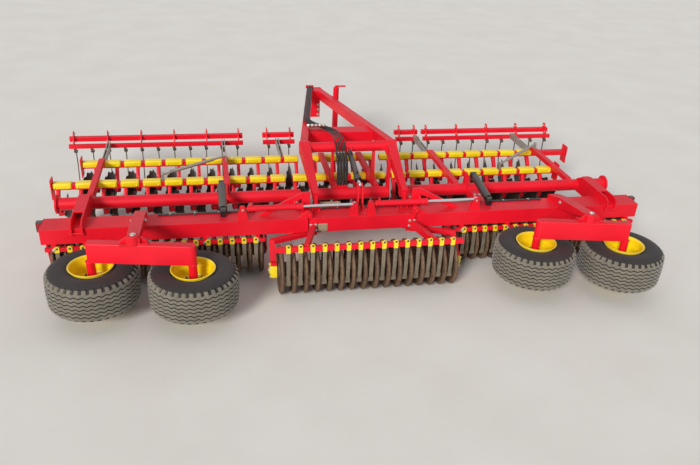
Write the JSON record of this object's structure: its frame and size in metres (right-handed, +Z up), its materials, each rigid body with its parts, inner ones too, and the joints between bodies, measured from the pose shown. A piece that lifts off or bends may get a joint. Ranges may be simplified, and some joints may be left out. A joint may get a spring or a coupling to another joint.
{
  "type": "trailed disc harrow",
  "caption": "Trailed disc harrow with folding wings, disc rows under clamp pads, ring packers, flat-laid transport wheels, levelling board and A-shaped drawbar.",
  "frame": {"origin": "floor level, under the middle of the bounding box", "axes": "+X to the machine's right, +Y towards the hitch, +Z up"},
  "size_m": [6.9, 5.0251, 1.2242],
  "materials": {
    "red_paint": "satin, dusty",
    "yellow_paint": "satin",
    "disc_steel": "worn, dark",
    "ring_steel": "dusty, dark",
    "black_paint": "gloss",
    "galvanised": "galvanised, matt",
    "chrome_rod": "bright",
    "tyre_rubber": "dusty",
    "hose_rubber": "matt",
    "worn_steel": "worn"
  },
  "bodies": {
    "drawbar": {"drawbar": "red_paint", "towing_eye": "worn_steel", "jack_sleeve": "red_paint", "centre_frame": "red_paint", "centre_arms": "red_paint", "centre_pads": "yellow_paint", "centre_discs": "disc_steel", "hoses": "hose_rubber"},
    "jack_leg": {"jack_leg": "galvanised"},
    "beam": {"centre_beam": "red_paint", "packer_frame": "red_paint", "centre_scrapers": "yellow_paint"},
    "centre_packer": {"centre_packer": "ring_steel"},
    "tilt_barrel": {"tilt_barrel": "black_paint"},
    "tilt_rod": {"tilt_rod": "chrome_rod"},
    "fold_barrel_left": {"fold_barrel_left": "red_paint"},
    "fold_rod_left": {"fold_rod_left": "chrome_rod"},
    "fold_barrel_right": {"fold_barrel_right": "red_paint"},
    "fold_rod_right": {"fold_rod_right": "chrome_rod"},
    "wing_left": {"wing_beam_left": "red_paint", "wing_frame_left": "red_paint", "wing_arms_left": "red_paint", "wing_pads_left": "yellow_paint", "wing_discs_left": "disc_steel", "board_left": "red_paint", "tines_left": "worn_steel", "carriers_left": "galvanised", "depth_cylinder_left": "black_paint", "scrapers_left": "yellow_paint", "bogie_left": "red_paint", "lamp_left": "black_paint"},
    "wing_packer_left": {"wing_packer_left": "ring_steel"},
    "wheel_left_outer": {"tyre_left_outer": "tyre_rubber", "rim_left_outer": "yellow_paint"},
    "wheel_left_inner": {"tyre_left_inner": "tyre_rubber", "rim_left_inner": "yellow_paint"},
    "wing_right": {"wing_beam_right": "red_paint", "wing_frame_right": "red_paint", "wing_arms_right": "red_paint", "wing_pads_right": "yellow_paint", "wing_discs_right": "disc_steel", "board_right": "red_paint", "tines_right": "worn_steel", "carriers_right": "galvanised", "depth_cylinder_right": "black_paint", "scrapers_right": "yellow_paint", "bogie_right": "red_paint", "lamp_right": "black_paint"},
    "wing_packer_right": {"wing_packer_right": "ring_steel"},
    "wheel_right_outer": {"tyre_right_outer": "tyre_rubber", "rim_right_outer": "yellow_paint"},
    "wheel_right_inner": {"tyre_right_inner": "tyre_rubber", "rim_right_inner": "yellow_paint"}
  },
  "joints": [
    {"name": "tilt", "type": "hinge", "parent": "drawbar", "child": "beam", "pos_m": [0, -1.2, 0.747], "axis": [1, 0, 0], "range_deg": [0, 90]},
    {"name": "fold_left", "type": "hinge", "parent": "beam", "child": "wing_left", "pos_m": [-0.6, -1.268, 0.747], "axis": [0, 1, 0], "range_deg": [0, 90]},
    {"name": "fold_right", "type": "hinge", "parent": "beam", "child": "wing_right", "pos_m": [0.6, -1.268, 0.747], "axis": [0, -1, 0], "range_deg": [0, 90]},
    {"name": "tilt_barrel_pin", "type": "hinge", "parent": "drawbar", "child": "tilt_barrel", "pos_m": [0, -0.49, 1.1], "axis": [1, 0, 0], "range_deg": [0, 6]},
    {"name": "tilt_rod_slide", "type": "slide", "parent": "tilt_barrel", "child": "tilt_rod", "axis": [0, -0.9754, -0.2203], "range_m": [0, 0.315]},
    {"name": "fold_barrel_pin_right", "type": "hinge", "parent": "beam", "child": "fold_barrel_right", "pos_m": [0.09, -1.34, 0.825], "axis": [0, -1, 0], "range_deg": [0, 57]},
    {"name": "fold_rod_slide_right", "type": "slide", "parent": "fold_barrel_right", "child": "fold_rod_right", "axis": [1, 0, 0], "range_m": [-0.463, 0]},
    {"name": "fold_barrel_pin_left", "type": "hinge", "parent": "wing_left", "child": "fold_barrel_left", "pos_m": [-1.3, -1.34, 0.825], "axis": [0, 1, 0], "range_deg": [-36, 0]},
    {"name": "fold_rod_slide_left", "type": "slide", "parent": "fold_barrel_left", "child": "fold_rod_left", "axis": [1, 0, 0], "range_m": [-0.463, 0]},
    {"name": "centre_packer_roll", "type": "hinge", "parent": "beam", "child": "centre_packer", "pos_m": [0, -1.688, 0.265], "axis": [1, 0, 0], "continuous": true},
    {"name": "packer_roll_left", "type": "hinge", "parent": "wing_left", "child": "wing_packer_left", "pos_m": [-2.1675, -1.195, 0.265], "axis": [1, 0, 0], "continuous": true},
    {"name": "wheel_spin_left_outer", "type": "hinge", "parent": "wing_left", "child": "wheel_left_outer", "pos_m": [-2.77535, -1.91595, 0.46], "axis": [0, 0, 1], "continuous": true},
    {"name": "wheel_spin_left_inner", "type": "hinge", "parent": "wing_left", "child": "wheel_left_inner", "pos_m": [-1.81865, -2.07605, 0.46], "axis": [0, 0, 1], "continuous": true},
    {"name": "packer_roll_right", "type": "hinge", "parent": "wing_right", "child": "wing_packer_right", "pos_m": [2.1675, -1.195, 0.265], "axis": [1, 0, 0], "continuous": true},
    {"name": "wheel_spin_right_inner", "type": "hinge", "parent": "wing_right", "child": "wheel_right_inner", "pos_m": [1.81865, -1.91595, 0.46], "axis": [0, 0, 1], "continuous": true},
    {"name": "wheel_spin_right_outer", "type": "hinge", "parent": "wing_right", "child": "wheel_right_outer", "pos_m": [2.77535, -2.07605, 0.46], "axis": [0, 0, 1], "continuous": true},
    {"name": "jack_lift", "type": "slide", "parent": "drawbar", "child": "jack_leg", "axis": [0, 0, 1], "range_m": [0, 0.35]}
  ],
  "couplings": [
    {"joint": "tilt_barrel_pin", "follows": "tilt", "ratio": 0.04882},
    {"joint": "tilt_rod_slide", "follows": "tilt", "m_per_rad": 0.19421},
    {"joint": "fold_barrel_pin_right", "follows": "fold_right", "ratio": 0.61354},
    {"joint": "fold_rod_slide_right", "follows": "fold_right", "m_per_rad": -0.2882},
    {"joint": "fold_barrel_pin_left", "follows": "fold_left", "ratio": -0.38646},
    {"joint": "fold_rod_slide_left", "follows": "fold_left", "m_per_rad": -0.2882}
  ]
}
